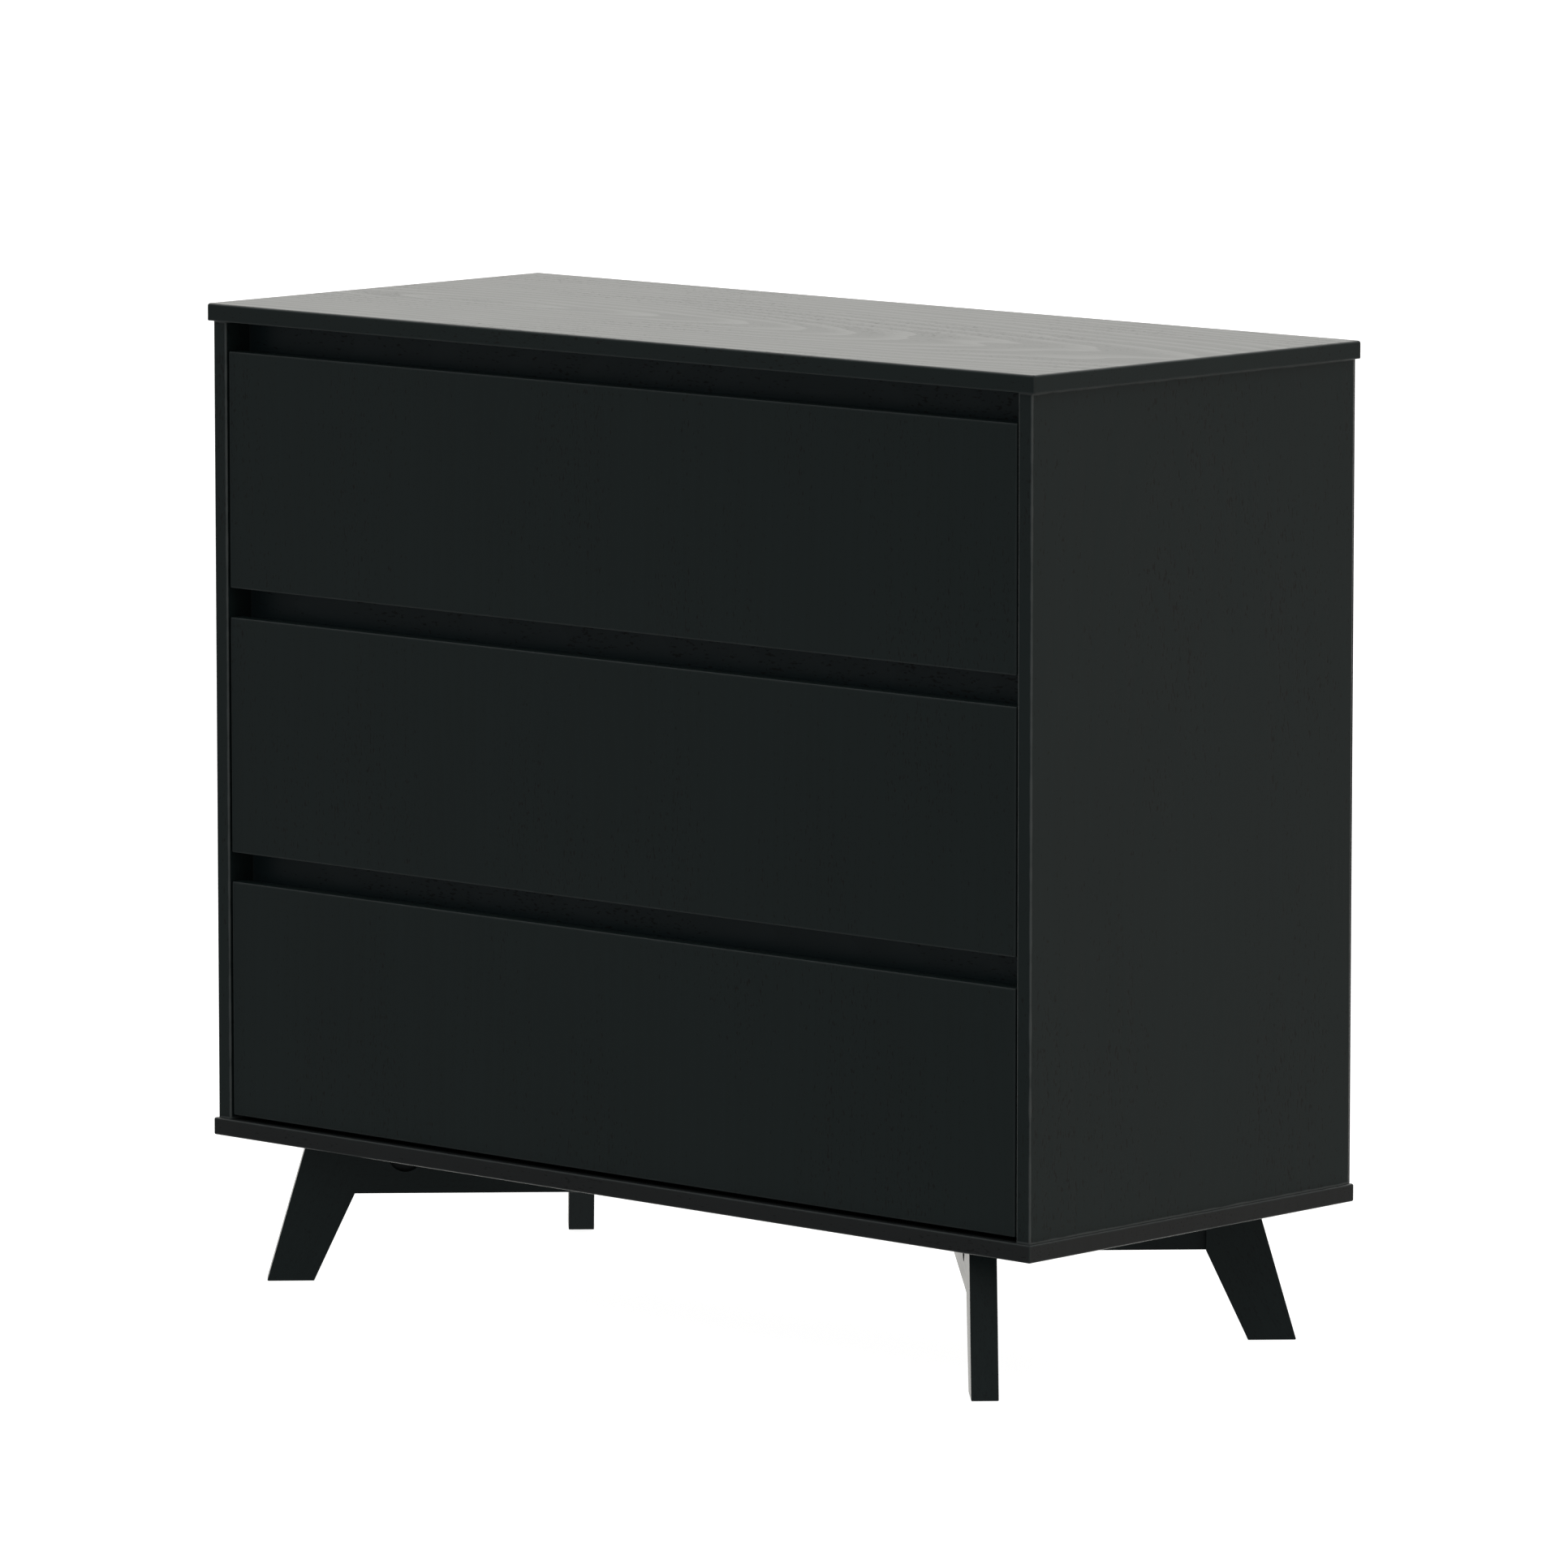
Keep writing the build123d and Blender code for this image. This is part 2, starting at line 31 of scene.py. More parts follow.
# ---- small tools ----
def linear(code):
    """An sRGB hex value as a linear colour with alpha."""
    shares = [int(code[i:i + 2], 16) / 255 for i in (1, 3, 5)]
    return [s / 12.92 if s <= 0.04045 else ((s + 0.055) / 1.055) ** 2.4 for s in shares] + [1.0]


def add(tree, kind, sockets=(), out=0, **settings):
    """Add a node with its settings and links, and give back one output.

    A socket takes a constant or another node's output. Sockets come in order, or by name or number.
    """
    made = tree.nodes.new("ShaderNode" + kind)
    for name, value in settings.items():
        setattr(made, name, value)
    for socket, value in sockets.items() if isinstance(sockets, dict) else enumerate(sockets):
        if isinstance(value, bpy.types.NodeSocket):
            tree.links.new(value, made.inputs[socket])
        else:
            made.inputs[socket].default_value = value
    return made.outputs[out] if len(made.outputs) else None


def start_finish(name):
    """An empty material, and the one node-adding function bound to its tree."""
    finish = bpy.data.materials.new(name)
    finish.use_nodes = True
    finish.node_tree.nodes.clear()
    return finish, partial(add, finish.node_tree)


# A Mix node set to colours has its sockets at these places: how much, from, to, and the result.
SHARE, FROM, TO, MIXED = 0, 6, 7, 2

# Melamine resin, lacquer, foil, paint, bare wood and polyethylene all bend light about this much.
RESIN_IOR = 1.5


# ---- black woodgrain melamine ----
# Chipboard faced with a resin-soaked printed paper, pressed against an embossed plate. The eye gets a
# near-black matt face with shallow pores along the grain and growth rings that only show in the sheen. Its
# edges carry a painted highlight: a paler colour along them stands in for the light the rounded edges catch.
# The pores are drawn about twice as coarse as real ones, to show.
PORE_WIDTH = 2.0 * MM
PORE_LENGTH = 6.5 * MM
SPARSE_PORES, CROWDED_PORES = 0.67, 0.57    # the noise level above which there is a pore
PORE_EDGE = 0.06
DRIFT_WIDTH = 120.0 * MM
DRIFT_LENGTH = 350.0 * MM
DRIFT_START, DRIFT_FULL = 0.40, 0.62
RING_SPACING = 15.0 * MM
LATE_WOOD_START, LATE_WOOD_FULL = 0.35, 0.95    # where in each ring it starts and is darkest
HEART_TILT = 0.16
HEART_DEPTH = 12.0 * MM
SWAY_REACH = 50.0 * MM
SWAYS_PER_METRE = 9.0
SWAY_ALONG_GRAIN = 0.22
FIBRE_WIDTH = 2.4 * MM
FIBRE_LENGTH = 70.0 * MM
CLOUDS_PER_METRE = 5.0
# painted edge highlight: how far it reaches in from an edge, how often that reach changes, and how much of
# its paler colour it lays on
EDGE_HIGHLIGHT_REACH = 3.0 * MM
HIGHLIGHT_REACH_CHANGES_PER_METRE = 60.0
EDGE_HIGHLIGHT_COVER = 0.7
EMBOSSING = 0.06 * MM
MELAMINE_ROUGHNESS = 0.36
GREENISH_BLACK = ("#222f2f", "#293838")
NEUTRAL_BLACK = ("#2a2e2f", "#35393a")
# the rails' blacks are painted a shade lighter, standing in for light that reaches into their recesses
PAINTED_LIGHT_RAIL_BLACK = ("#2e3f43", "#374a4f")
MELAMINE_PORE = "#111717"
# paler colours painted along the board edges as a highlight, for the light their rounded edges catch; the
# pale one goes on the side panels
EDGE_HIGHLIGHT_GREY = "#444d4d"
EDGE_HIGHLIGHT_PALE = "#7c8383"


def woodgrain_melamine(name, node, grain, across, figure, seed, blacks=GREENISH_BLACK, scuff_and_highlight=EDGE_HIGHLIGHT_GREY):
    """Grain and across are axis letters; figure is where the arch of the grain sits, across and along."""
    finish, put = start_finish(name)
    low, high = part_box(node)
    half = (high - low) / 2
    spot = put("TexCoord", out="Object")
    local = put("VectorMath", [spot, (low + high) / 2], operation="SUBTRACT")
    axes = {letter: put("SeparateXYZ", [local], out=letter) for letter in "XYZ"}
    depth = next(letter for letter in "XYZ" if letter not in (grain, across))
    run, side, deep = axes[grain], axes[across], axes[depth]

    # growth rings: distances from a slightly tilted heart, which meet the face as nested arches
    arch_side = put("Math", [side, figure[0]], operation="SUBTRACT")
    arch_run = put("Math", [run, figure[1]], operation="SUBTRACT")
    arch_rise = put("Math", [arch_run, HEART_TILT, HEART_DEPTH], operation="MULTIPLY_ADD")
    arch = put("CombineXYZ", [arch_side, arch_rise, deep])
    radius = put("VectorMath", [arch], out="Value", operation="LENGTH")
    slow_run = put("Math", [run, SWAY_ALONG_GRAIN], operation="MULTIPLY")
    sway_spot = put("CombineXYZ", [side, slow_run, deep])
    sway = put("TexNoise", {"Vector": sway_spot, "W": seed, "Scale": SWAYS_PER_METRE, "Detail": 3.0},
               noise_dimensions="4D")
    bent = put("Math", [sway, SWAY_REACH, radius], operation="MULTIPLY_ADD")
    turns = put("Math", [bent, RING_SPACING], operation="DIVIDE")
    phase = put("Math", [turns], operation="FRACT")
    rise = put("MapRange", [phase, LATE_WOOD_START, LATE_WOOD_FULL], interpolation_type="SMOOTHSTEP")
    fall = put("MapRange", [phase, 1.0, LATE_WOOD_FULL], interpolation_type="SMOOTHSTEP")
    late_wood = put("Math", [rise, fall], operation="MULTIPLY")

    # pores: short grooves along the grain, gathered in drifts and closer together in each ring's early wood
    pore_sizes = {grain: PORE_LENGTH, across: PORE_WIDTH, depth: PORE_WIDTH}
    pore_spot = put("VectorMath", [local, [1 / pore_sizes[letter] for letter in "XYZ"]],
                    operation="MULTIPLY")
    pores = put("TexNoise", {"Vector": pore_spot, "W": seed, "Scale": 1.0, "Detail": 1.5},
                noise_dimensions="4D")
    drift_sizes = {grain: DRIFT_LENGTH, across: DRIFT_WIDTH, depth: DRIFT_WIDTH}
    drift_spot = put("VectorMath", [local, [1 / drift_sizes[letter] for letter in "XYZ"]],
                     operation="MULTIPLY")
    drift = put("TexNoise", {"Vector": drift_spot, "W": seed, "Scale": 1.0, "Detail": 2.0},
                noise_dimensions="4D")
    sparse = put("MapRange", [drift, DRIFT_START, DRIFT_FULL, SPARSE_PORES, CROWDED_PORES],
                 interpolation_type="SMOOTHSTEP")
    crowd = put("Math", [late_wood, 0.05, sparse], operation="MULTIPLY_ADD")
    crowd_end = put("Math", [crowd, PORE_EDGE], operation="ADD")
    groove = put("MapRange", [pores, crowd, crowd_end], interpolation_type="SMOOTHSTEP")

    # fibre: fine streaks along the grain, and a slow cloudiness over the whole board
    fibre_sizes = {grain: FIBRE_LENGTH, across: FIBRE_WIDTH, depth: FIBRE_WIDTH}
    fibre_spot = put("VectorMath", [local, [1 / fibre_sizes[letter] for letter in "XYZ"]],
                     operation="MULTIPLY")
    fibre = put("TexNoise", {"Vector": fibre_spot, "W": seed, "Scale": 1.0, "Detail": 4.0},
                noise_dimensions="4D")
    cloud = put("TexNoise", {"Vector": local, "W": seed, "Scale": CLOUDS_PER_METRE, "Detail": 2.0},
                noise_dimensions="4D")

    # painted edge highlight: a paler colour laid where two of the board's outer faces are both close,
    # standing in for the light the rounded edges catch
    near = [put("Math", [put("Math", [axes[letter]], operation="ABSOLUTE"), -1.0, reach],
                operation="MULTIPLY_ADD")
            for letter, reach in zip("XYZ", half)]
    least = put("Math", near[:2], operation="MINIMUM")
    most = put("Math", near[:2], operation="MAXIMUM")
    nearer = put("Math", [most, near[2]], operation="MINIMUM")
    from_edge = put("Math", [least, nearer], operation="MAXIMUM")
    chance = put("TexNoise", {"Vector": local, "W": seed, "Scale": HIGHLIGHT_REACH_CHANGES_PER_METRE, "Detail": 3.0},
                 noise_dimensions="4D")
    highlight_reach = put("Math", [chance, 0.6 * EDGE_HIGHLIGHT_REACH, 0.4 * EDGE_HIGHLIGHT_REACH], operation="MULTIPLY_ADD")
    highlight_depth = put("Math", [highlight_reach, from_edge], operation="SUBTRACT")
    painted_edge_highlight = put("MapRange", [highlight_depth, 0.0, EDGE_HIGHLIGHT_REACH / 2, 0.0, EDGE_HIGHLIGHT_COVER],
                 interpolation_type="SMOOTHSTEP")

    # the black: mostly cloud, with some fibre and late wood, then dark pores and the painted edge highlight
    # over it
    mottle = put("Math", [cloud, 0.5], operation="MULTIPLY")
    streaks = put("Math", [fibre, 0.2, mottle], operation="MULTIPLY_ADD")
    tone = put("Math", [late_wood, 0.2, streaks], operation="MULTIPLY_ADD", use_clamp=True)
    paint = put("Mix", {SHARE: tone, FROM: linear(blacks[0]), TO: linear(blacks[1])},
                out=MIXED, data_type="RGBA")
    pore_ink = put("Math", [groove, 0.85], operation="MULTIPLY")
    paint = put("Mix", {SHARE: pore_ink, FROM: paint, TO: linear(MELAMINE_PORE)},
                out=MIXED, data_type="RGBA")
    paint = put("Mix", {SHARE: painted_edge_highlight, FROM: paint, TO: linear(scuff_and_highlight)}, out=MIXED, data_type="RGBA")

    # the sheen and relief: pores are sunk and matt, late wood stands up and shines a little more
    matt = put("Math", [fibre, 0.08, MELAMINE_ROUGHNESS], operation="MULTIPLY_ADD")
    matt = put("Math", [groove, 0.12, matt], operation="MULTIPLY_ADD")
    matt = put("Math", [late_wood, -0.04, matt], operation="MULTIPLY_ADD")
    height = put("Math", [fibre, 0.3], operation="MULTIPLY")
    height = put("Math", [late_wood, 0.25, height], operation="MULTIPLY_ADD")
    height = put("Math", [height, groove], operation="SUBTRACT")
    relief = put("Bump", {"Strength": 0.35, "Distance": EMBOSSING, "Height": height})
    shader = put("BsdfPrincipled",
                 {"Base Color": paint, "Roughness": matt, "Normal": relief, "IOR": RESIN_IOR})
    put("OutputMaterial", [shader])
    return finish


# ---- black-stained beech legs ----
# Solid beech, sprayed with a thin black stain and lacquer: straight grain with short flecks still reads
# through the colour. Sizes are counts per metre, across the grain twice and then along it.
BEECH_GRAIN_PER_METRE = (260.0, 260.0, 14.0)
BEECH_FLECKS_PER_METRE = (900.0, 900.0, 190.0)
FLECK_START, FLECK_FULL = 0.58, 0.68
STAIN_CLOUDS_PER_METRE = 14.0
STAIN_DARK = "#1c2829"
STAIN_PALE = "#273637"
STAIN_FLECK = "#141a1b"
LACQUER_ROUGHNESS = 0.30
OPEN_GRAIN = 0.06 * MM


def stained_beech(name, direction, seed):
    """Direction is the way the grain runs."""
    finish, put = start_finish(name)
    spot = put("TexCoord", out="Object")
    turn = Vector(direction).to_track_quat("Z", "X").to_euler()
    level = put("VectorRotate", {"Vector": spot, "Rotation": turn}, rotation_type="EULER_XYZ", invert=True)
    grain_spot = put("VectorMath", [level, BEECH_GRAIN_PER_METRE], operation="MULTIPLY")
    grain = put("TexNoise", {"Vector": grain_spot, "W": seed, "Scale": 1.0, "Detail": 5.0},
                noise_dimensions="4D")
    fleck_spot = put("VectorMath", [level, BEECH_FLECKS_PER_METRE], operation="MULTIPLY")
    fleck = put("TexNoise", {"Vector": fleck_spot, "W": seed, "Scale": 1.0, "Detail": 1.0},
                noise_dimensions="4D")
    flecks = put("MapRange", [fleck, FLECK_START, FLECK_FULL, 0.0, 0.5], interpolation_type="SMOOTHSTEP")
    cloud = put("TexNoise", {"Vector": spot, "W": seed, "Scale": STAIN_CLOUDS_PER_METRE, "Detail": 2.0},
                noise_dimensions="4D")
    mottle = put("Math", [cloud, 0.4], operation="MULTIPLY")
    tone = put("Math", [grain, 0.7, mottle], operation="MULTIPLY_ADD", use_clamp=True)
    paint = put("Mix", {SHARE: tone, FROM: linear(STAIN_DARK), TO: linear(STAIN_PALE)},
                out=MIXED, data_type="RGBA")
    paint = put("Mix", {SHARE: flecks, FROM: paint, TO: linear(STAIN_FLECK)}, out=MIXED, data_type="RGBA")
    matt = put("Math", [grain, 0.12, LACQUER_ROUGHNESS], operation="MULTIPLY_ADD")
    height = put("Math", [grain, 0.5], operation="MULTIPLY")
    height = put("Math", [height, flecks], operation="SUBTRACT")
    relief = put("Bump", {"Strength": 0.3, "Distance": OPEN_GRAIN, "Height": height})
    shader = put("BsdfPrincipled",
                 {"Base Color": paint, "Roughness": matt, "Normal": relief, "IOR": RESIN_IOR})
    put("OutputMaterial", [shader])
    return finish


# ---- pressed hardboard, for the back and the drawer bottoms ----
# Wood fibre pressed hard and painted on its smooth side: no grain direction, only a fine felted mottle.
FELT_PER_METRE = 420.0
PAINT_CLOUDS_PER_METRE = 9.0
FELT_RELIEF = 0.05 * MM


def painted_hardboard(name, dark, pale, roughness, seed):
    finish, put = start_finish(name)
    spot = put("TexCoord", out="Object")
    felt = put("TexNoise", {"Vector": spot, "W": seed, "Scale": FELT_PER_METRE, "Detail": 4.0},
               noise_dimensions="4D")
    cloud = put("TexNoise", {"Vector": spot, "W": seed, "Scale": PAINT_CLOUDS_PER_METRE, "Detail": 3.0},
                noise_dimensions="4D")
    mottle = put("Math", [cloud, 0.4], operation="MULTIPLY")
    tone = put("Math", [felt, 0.6, mottle], operation="MULTIPLY_ADD", use_clamp=True)
    paint = put("Mix", {SHARE: tone, FROM: linear(dark), TO: linear(pale)}, out=MIXED, data_type="RGBA")
    matt = put("Math", [felt, 0.12, roughness], operation="MULTIPLY_ADD")
    relief = put("Bump", {"Strength": 0.25, "Distance": FELT_RELIEF, "Height": felt})
    shader = put("BsdfPrincipled",
                 {"Base Color": paint, "Roughness": matt, "Normal": relief, "IOR": RESIN_IOR})
    put("OutputMaterial", [shader])
    return finish


# ---- light-grey foil on the drawer boxes ----
# Fibreboard wrapped in a paper foil with a printed linen weave. Its threads are drawn three times as coarse
# as real ones, to show.
LINEN_THREAD = 1.2 * MM
SLUBS_PER_METRE = 130.0
FOIL_CLOUDS_PER_METRE = 7.0
FOIL_DARK = "#a3a5a5"
FOIL_PALE = "#b9bbba"
FOIL_ROUGHNESS = 0.42
WEAVE_RELIEF = 0.04 * MM


def linen_foil(name, seed):
    finish, put = start_finish(name)
    spot = put("TexCoord", out="Object")
    turns = put("VectorMath", [spot, [2 * math.pi / LINEN_THREAD] * 3], operation="MULTIPLY")
    level_x, level_y, level_z = (put("SeparateXYZ", [turns], out=letter) for letter in "XYZ")
    warp = put("Math", [put("Math", [level_x, level_y], operation="ADD")], operation="SINE")
    weft = put("Math", [level_z], operation="SINE")
    crossing = put("Math", [warp, weft], operation="MULTIPLY")
    weave = put("Math", [crossing, 0.5, 0.5], operation="MULTIPLY_ADD")
    slub = put("TexNoise", {"Vector": spot, "W": seed, "Scale": SLUBS_PER_METRE, "Detail": 3.0},
               noise_dimensions="4D")
    cloud = put("TexNoise", {"Vector": spot, "W": seed, "Scale": FOIL_CLOUDS_PER_METRE, "Detail": 2.0},
                noise_dimensions="4D")
    tone = put("Math", [cloud, 0.2], operation="MULTIPLY")
    tone = put("Math", [slub, 0.4, tone], operation="MULTIPLY_ADD")
    tone = put("Math", [weave, 0.4, tone], operation="MULTIPLY_ADD", use_clamp=True)
    paint = put("Mix", {SHARE: tone, FROM: linear(FOIL_DARK), TO: linear(FOIL_PALE)},
                out=MIXED, data_type="RGBA")
    matt = put("Math", [slub, 0.1, FOIL_ROUGHNESS], operation="MULTIPLY_ADD")
    relief = put("Bump", {"Strength": 0.25, "Distance": WEAVE_RELIEF, "Height": tone})
    shader = put("BsdfPrincipled",
                 {"Base Color": paint, "Roughness": matt, "Normal": relief, "IOR": RESIN_IOR})
    put("OutputMaterial", [shader])
    return finish


# ---- zinc-plated steel slides ----
# Cold-rolled strip, roll-formed and electroplated: bright bluish grey, faint roll lines along its length
# and cloudy patches in the plating. Roll lines are counted across, along and up the slide.
ROLL_LINES_PER_METRE = (1100.0, 12.0, 1100.0)
PLATING_PATCHES_PER_METRE = 45.0
PLATING_DARK = "#b4bac0"
PLATING_BRIGHT = "#d3d7da"
PLATING_ROUGHNESS = 0.28
ROLL_RELIEF = 0.02 * MM


def zinc_plated_steel(name, seed):
    finish, put = start_finish(name)
    spot = put("TexCoord", out="Object")
    line_spot = put("VectorMath", [spot, ROLL_LINES_PER_METRE], operation="MULTIPLY")
    lines = put("TexNoise", {"Vector": line_spot, "W": seed, "Scale": 1.0, "Detail": 3.0},
                noise_dimensions="4D")
    bloom = put("TexNoise", {"Vector": spot, "W": seed, "Scale": PLATING_PATCHES_PER_METRE, "Detail": 4.0},
                noise_dimensions="4D")
    paint = put("Mix", {SHARE: bloom, FROM: linear(PLATING_DARK), TO: linear(PLATING_BRIGHT)},
                out=MIXED, data_type="RGBA")
    matt = put("Math", [lines, 0.12, PLATING_ROUGHNESS], operation="MULTIPLY_ADD")
    matt = put("Math", [bloom, 0.16, matt], operation="MULTIPLY_ADD")
    relief = put("Bump", {"Strength": 0.2, "Distance": ROLL_RELIEF, "Height": lines})
    shader = put("BsdfPrincipled",
                 {"Base Color": paint, "Metallic": 1.0, "Roughness": matt, "Normal": relief})
    put("OutputMaterial", [shader])
    return finish


# ---- small zinc fittings ----
# Cam locks are die-cast zinc, tumbled; screws and brackets are plated steel. Both are a dull silver with a
# fine sandy skin and darker stains.
SAND_PER_METRE = 1500.0
STAINS_PER_METRE = 160.0
FITTING_DARK = "#9a9da1"
FITTING_BRIGHT = "#c3c6c9"
FITTING_ROUGHNESS = 0.28
SAND_RELIEF = 0.03 * MM


def tumbled_zinc(name, seed):
    finish, put = start_finish(name)
    spot = put("TexCoord", out="Object")
    sand = put("TexNoise", {"Vector": spot, "W": seed, "Scale": SAND_PER_METRE, "Detail": 3.0},
               noise_dimensions="4D")
    stain = put("TexNoise", {"Vector": spot, "W": seed, "Scale": STAINS_PER_METRE, "Detail": 3.0},
                noise_dimensions="4D")
    paint = put("Mix", {SHARE: stain, FROM: linear(FITTING_DARK), TO: linear(FITTING_BRIGHT)},
                out=MIXED, data_type="RGBA")
    matt = put("Math", [sand, 0.2, FITTING_ROUGHNESS], operation="MULTIPLY_ADD")
    relief = put("Bump", {"Strength": 0.3, "Distance": SAND_RELIEF, "Height": sand})
    shader = put("BsdfPrincipled",
                 {"Base Color": paint, "Metallic": 1.0, "Roughness": matt, "Normal": relief})
    put("OutputMaterial", [shader])
    return finish


# ---- raw beech dowels ----
# Turned from raw beech: dry, pale pinkish tan with a fine darker mottle.
DOWEL_GRAIN_PER_METRE = 500.0
DOWEL_DARK = "#b98e62"
DOWEL_PALE = "#dcb98e"
DOWEL_ROUGHNESS = 0.55
DOWEL_RELIEF = 0.05 * MM


def raw_beech(name, seed):
    finish, put = start_finish(name)
    spot = put("TexCoord", out="Object")
    grain = put("TexNoise", {"Vector": spot, "W": seed, "Scale": DOWEL_GRAIN_PER_METRE, "Detail": 4.0},
                noise_dimensions="4D")
    paint = put("Mix", {SHARE: grain, FROM: linear(DOWEL_DARK), TO: linear(DOWEL_PALE)},
                out=MIXED, data_type="RGBA")
    matt = put("Math", [grain, 0.15, DOWEL_ROUGHNESS], operation="MULTIPLY_ADD")
    relief = put("Bump", {"Strength": 0.3, "Distance": DOWEL_RELIEF, "Height": grain})
    shader = put("BsdfPrincipled",
                 {"Base Color": paint, "Roughness": matt, "Normal": relief, "IOR": RESIN_IOR})
    put("OutputMaterial", [shader])
    return finish


# ---- moulded polyethylene glides ----
# Injection-moulded black plastic with a spark-eroded skin: soft, waxy and slightly grey where it has rubbed.
SPARK_SKIN_PER_METRE = 1800.0
SCUFFS_PER_METRE = 220.0
SCUFF_START, SCUFF_FULL = 0.5, 0.75
GLIDE_BLACK = "#141516"
GLIDE_SCUFFED = "#2c2e2f"
GLIDE_ROUGHNESS = 0.45
SPARK_RELIEF = 0.03 * MM


def moulded_plastic(name, seed):
    finish, put = start_finish(name)
    spot = put("TexCoord", out="Object")
    skin = put("TexNoise", {"Vector": spot, "W": seed, "Scale": SPARK_SKIN_PER_METRE, "Detail": 2.0},
               noise_dimensions="4D")
    scuff = put("TexNoise", {"Vector": spot, "W": seed, "Scale": SCUFFS_PER_METRE, "Detail": 4.0},
                noise_dimensions="4D")
    scuff_and_highlight = put("MapRange", [scuff, SCUFF_START, SCUFF_FULL], interpolation_type="SMOOTHSTEP")
    paint = put("Mix", {SHARE: scuff_and_highlight, FROM: linear(GLIDE_BLACK), TO: linear(GLIDE_SCUFFED)},
                out=MIXED, data_type="RGBA")
    matt = put("Math", [skin, 0.15, GLIDE_ROUGHNESS], operation="MULTIPLY_ADD")
    relief = put("Bump", {"Strength": 0.3, "Distance": SPARK_RELIEF, "Height": skin})
    shader = put("BsdfPrincipled",
                 {"Base Color": paint, "Roughness": matt, "Normal": relief, "IOR": RESIN_IOR})
    put("OutputMaterial", [shader])
    return finish


# ---- which finish goes on which piece ----
# Every piece has its own seed, so that no two boards or legs show the same figure.
BOARD_SEED_STEP = 3.7
FRONT_SEED = 11.0
LEG_SEED_STEP = 1.3
BRACE_SEED = 9.0
FRONT_FIGURE = (-0.067, 0.07)
LEG_LEAN = 0.35
BACK_DARK, BACK_PALE, BACK_ROUGHNESS = "#15191a", "#202526", 0.5
SHEET_DARK, SHEET_PALE, SHEET_ROUGHNESS = "#9c9e9e", "#b0b2b1", 0.45

# The bottom slab's black has no green in it, the rails' black is painted a shade lighter to stand in for
# light reaching into their recesses, and the sides' long edges carry the palest painted edge highlight. Each
# row is the board, its grain and the axis across it, where the grain's arch sits, its blacks and its painted
# highlight colour.
BOARDS = (
    ("top_panel", "X", "Y", (-0.03, -0.28), GREENISH_BLACK, EDGE_HIGHLIGHT_GREY),
    ("left_side_panel", "Z", "Y", (0.04, 0.1), GREENISH_BLACK, EDGE_HIGHLIGHT_PALE),
    ("right_side_panel", "Z", "Y", (-0.05, -0.05), GREENISH_BLACK, EDGE_HIGHLIGHT_PALE),
    ("bottom_panel", "X", "Y", (0.05, 0.2), NEUTRAL_BLACK, EDGE_HIGHLIGHT_GREY),
    ("top_rail", "X", "Z", (0.0, 0.3), PAINTED_LIGHT_RAIL_BLACK, EDGE_HIGHLIGHT_GREY),
    ("upper_middle_rail", "X", "Z", (0.0, -0.2), PAINTED_LIGHT_RAIL_BLACK, EDGE_HIGHLIGHT_GREY),
    ("lower_middle_rail", "X", "Z", (0.0, 0.1), PAINTED_LIGHT_RAIL_BLACK, EDGE_HIGHLIGHT_GREY),
)


def dress(node, finish):
    """Give every face of a CAD node one finish."""
    slots = NODES[node].data.materials
    if len(slots) == 0:
        slots.append(finish)
    for i in range(len(slots)):
        slots[i] = finish


def dress_cabinet(zinc):
    for place, (node, grain, across, figure, blacks, scuff_and_highlight) in enumerate(BOARDS):
        dress(node, woodgrain_melamine("black_woodgrain_" + node, node, grain, across, figure,
                                       BOARD_SEED_STEP * place, blacks, scuff_and_highlight))
    dress("back_panel", painted_hardboard("black_hardboard_back", BACK_DARK, BACK_PALE, BACK_ROUGHNESS, 2.0))
    for node in ("cam_locks", "cam_bolts", "back_panel_nails", "cabinet_runner_screws", "leg_bolts",
                 "leg_bracket_screws", "leg_brackets"):
        dress(node, zinc)
    beech = raw_beech("raw_beech_dowels", 6.0)
    for node in ("cabinet_dowels", "leg_dowels"):
        dress(node, beech)
    dress("foot_glides", moulded_plastic("moulded_black_glide", 7.0))


def dress_legs():
    """Each leg's grain leans with it, and each brace's runs level towards the middle of the chest."""
    for place, corner in enumerate(("front_left", "front_right", "rear_left", "rear_right")):
        side_x = -1 if corner.endswith("left") else 1
        side_y = -1 if corner.startswith("front") else 1
        dress(corner + "_leg", stained_beech("stained_beech_" + corner + "_leg",
                                             (-side_x * LEG_LEAN, -side_y * LEG_LEAN, 1.0),
                                             LEG_SEED_STEP * place))
        dress(corner + "_leg_brace", stained_beech("stained_beech_" + corner + "_brace",
                                                   (-side_x, -side_y, 0.0),
                                                   LEG_SEED_STEP * place + BRACE_SEED))


def dress_drawers(zinc):
    foil = linen_foil("light_grey_linen_foil", 1.0)
    sheet = painted_hardboard("light_grey_hardboard_bottom", SHEET_DARK, SHEET_PALE, SHEET_ROUGHNESS, 4.0)
    steel = zinc_plated_steel("zinc_plated_slide_steel", 8.0)
    for place, drawer in enumerate(DRAWERS):
        front = drawer + "_drawer_front"
        dress(front, woodgrain_melamine("black_woodgrain_" + front, front, "Z", "X", FRONT_FIGURE,
                                        FRONT_SEED + place))
        for part in ("back", "left_side", "right_side"):
            dress(f"{drawer}_drawer_{part}", foil)
        dress(drawer + "_drawer_bottom", sheet)
        dress(drawer + "_drawer_fittings", zinc)
        dress(drawer + "_intermediate_runners", steel)
        for hand in ("left", "right"):
            dress(f"{drawer}_{hand}_cabinet_runner", steel)
            dress(f"{drawer}_{hand}_drawer_runner", steel)


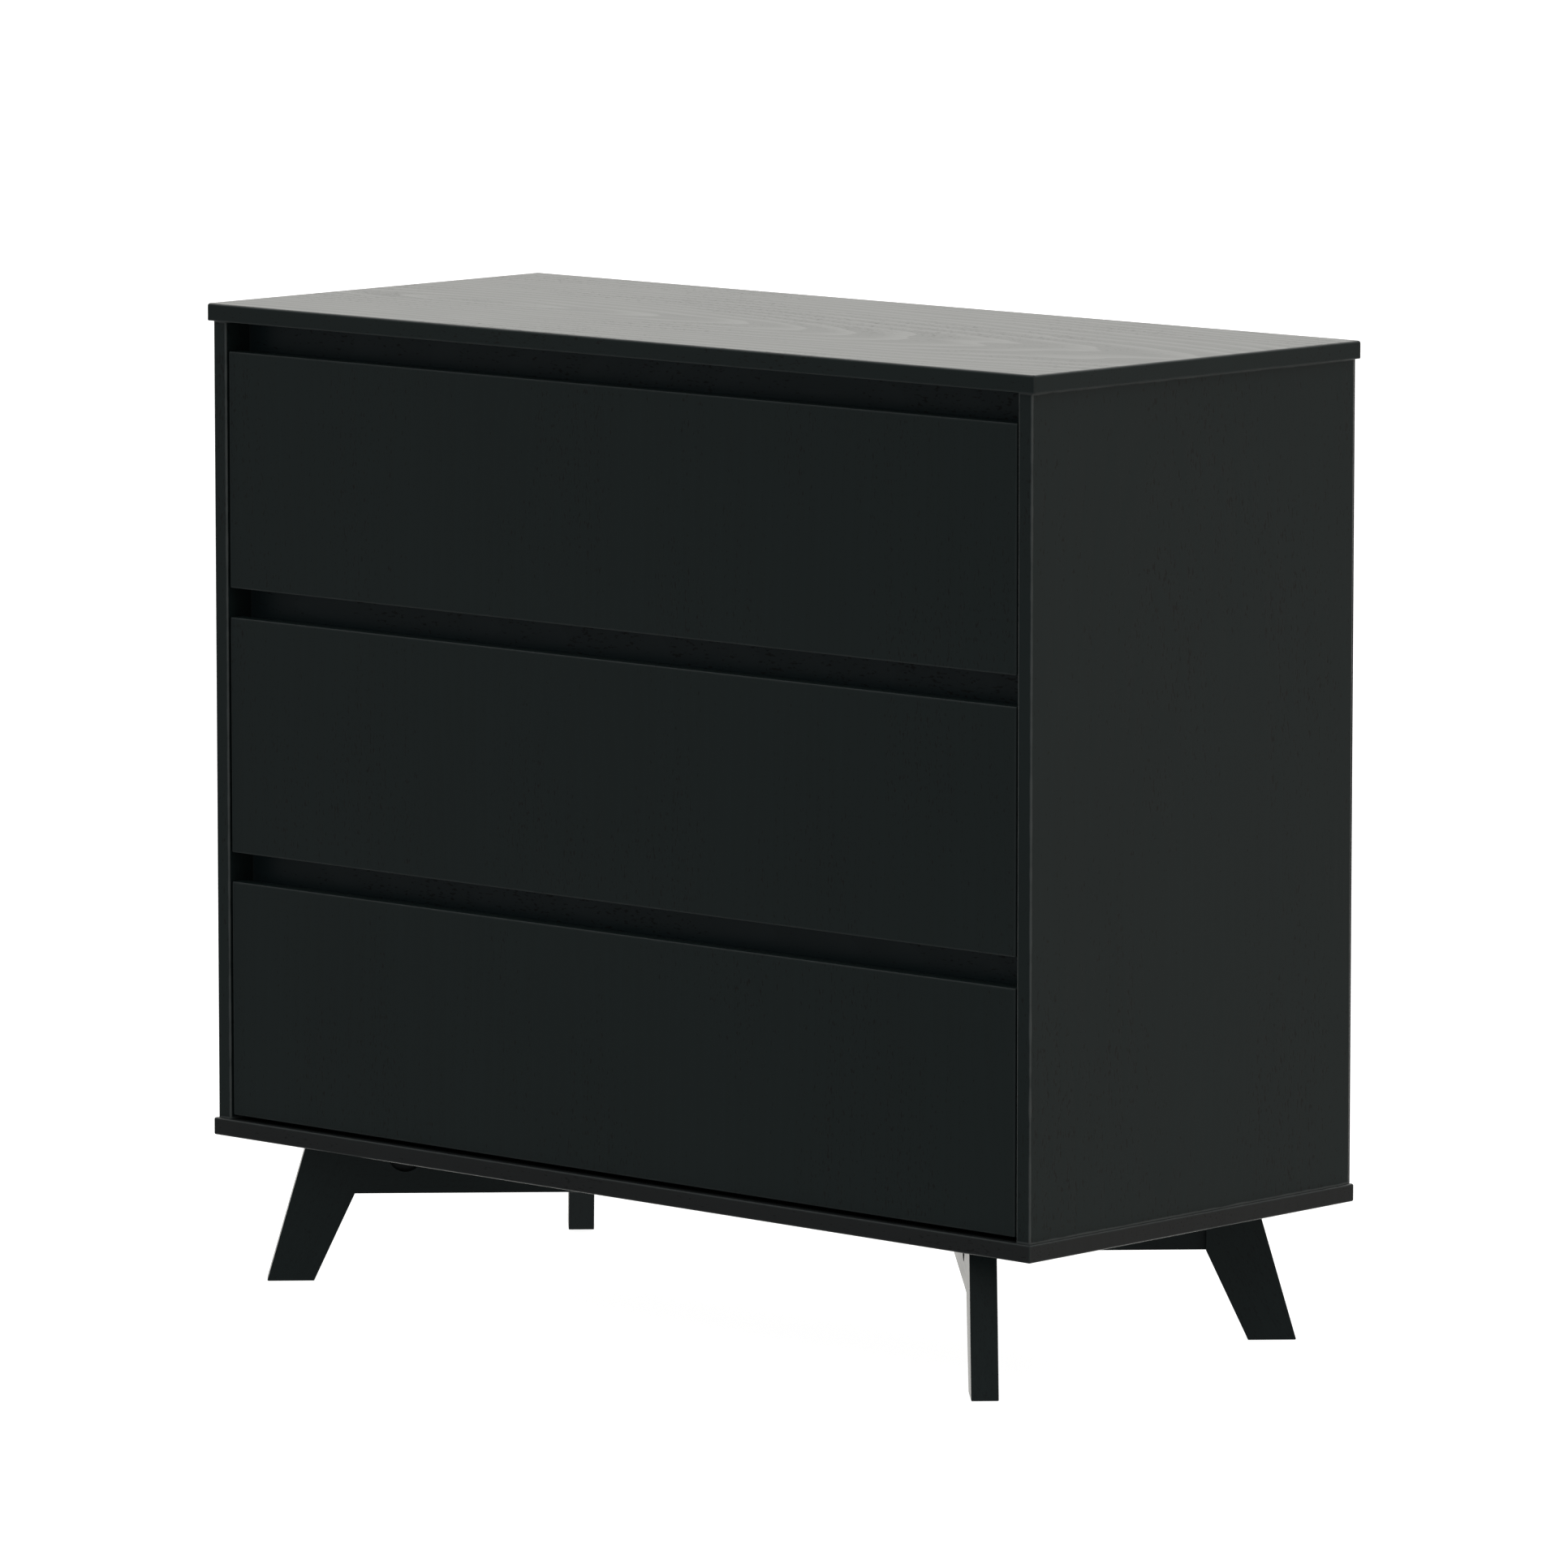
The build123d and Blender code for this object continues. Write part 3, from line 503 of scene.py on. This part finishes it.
# ---- studio ----
# Each light is a soft patch of the studio: its direction, the cosines where it starts and is full, its
# strength and its colour.
AMBIENT = 0.12
DAYLIGHT = "#ffffff"
IVORY_WALL = "#fffdf8"
WARM_WALL = "#ffefe2"
LIGHTS = (
    ((-0.68, 0.73, 0.05), 0.30, 0.80, 1.35, IVORY_WALL),
    ((0.0, 0.0, 1.0), 0.30, 0.95, 0.40, DAYLIGHT),
    ((0.73, 0.68, 0.0), 0.30, 0.90, 0.06, WARM_WALL),
    ((1.0, 0.07, 0.0), 0.82, 0.97, 0.31, WARM_WALL),
    ((0.0, 0.0, -1.0), 0.40, 0.80, 0.11, DAYLIGHT),
)


def light_studio():
    """A pale studio: a bright wall behind on the left, a soft ceiling and dim warm sides.

    The camera itself sees plain white.
    """
    world = bpy.data.worlds.new("pale_studio")
    bpy.context.scene.world = world
    world.use_nodes = True
    world.node_tree.nodes.clear()
    put = partial(add, world.node_tree)
    look = put("TexCoord", out="Generated")
    light = Vector((AMBIENT, AMBIENT, AMBIENT))
    for direction, from_cosine, to_cosine, strength, colour in LIGHTS:
        facing = put("VectorMath", [look, Vector(direction).normalized()],
                     out="Value", operation="DOT_PRODUCT")
        patch = put("MapRange", [facing, from_cosine, to_cosine, 0.0, strength],
                    interpolation_type="SMOOTHSTEP")
        light = put("VectorMath", [patch, linear(colour)[:3], light], operation="MULTIPLY_ADD")
    studio = put("Background", {"Color": light, "Strength": 1.0})
    white = put("Background", {"Color": linear("#ffffff"), "Strength": 1.0})
    seen = put("LightPath", out="Is Camera Ray")
    put("OutputWorld", [put("MixShader", [seen, studio, white])])


FLOOR_HALF = 60.0
FLOOR_GLOW = 0.93
FLOOR_PAINT = "#d8d8d8"


def lay_floor():
    """A pale floor that is lit almost evenly, so only a trace of shadow gathers under the chest."""
    corners = [(-FLOOR_HALF, -FLOOR_HALF, 0), (FLOOR_HALF, -FLOOR_HALF, 0),
               (FLOOR_HALF, FLOOR_HALF, 0), (-FLOOR_HALF, FLOOR_HALF, 0)]
    mesh = bpy.data.meshes.new("pale_floor")
    mesh.from_pydata(corners, [], [(0, 1, 2, 3)])
    floor = bpy.data.objects.new("pale_floor", mesh)
    bpy.context.scene.collection.objects.link(floor)
    finish, put = start_finish("pale_studio_floor")
    glow = put("Emission", {"Color": linear("#ffffff"), "Strength": FLOOR_GLOW})
    face = put("BsdfDiffuse", {"Color": linear(FLOOR_PAINT)})
    put("OutputMaterial", [put("AddShader", [glow, face])])
    mesh.materials.append(finish)
    floor.visible_diffuse = False
    floor.visible_glossy = False
    floor.visible_transmission = False
    floor.visible_shadow = False


# ---- camera ----
# It stands in front on the right, a little above the chest. Angles are in degrees, the lens and the film in
# millimetres, the rest in metres.
AZIMUTH = 42.803
PITCH = 7.635
DISTANCE = 10.0276
TARGET = Vector((0.00404, 0.00921, 0.47695))
LENS = 256.5
FILM_WIDTH = 36.0
NEAREST, FARTHEST = 0.1, 200.0


def place_camera():
    a, e = math.radians(AZIMUTH), math.radians(PITCH)
    back = Vector((math.sin(a) * math.cos(e), -math.cos(a) * math.cos(e), math.sin(e)))
    lens = bpy.data.cameras.new("studio_camera")
    lens.lens = LENS
    lens.sensor_width = FILM_WIDTH
    lens.clip_start, lens.clip_end = NEAREST, FARTHEST
    camera = bpy.data.objects.new("studio_camera", lens)
    bpy.context.scene.collection.objects.link(camera)
    camera.location = TARGET + back * DISTANCE
    camera.rotation_mode = "QUATERNION"
    camera.rotation_quaternion = (-back).to_track_quat("-Z", "Y")
    bpy.context.scene.camera = camera
    bpy.context.scene.view_settings.view_transform = "Standard"


fittings_zinc = tumbled_zinc("tumbled_zinc_fittings", 5.0)
dress_cabinet(fittings_zinc)
dress_legs()
dress_drawers(fittings_zinc)
light_studio()
lay_floor()
place_camera()
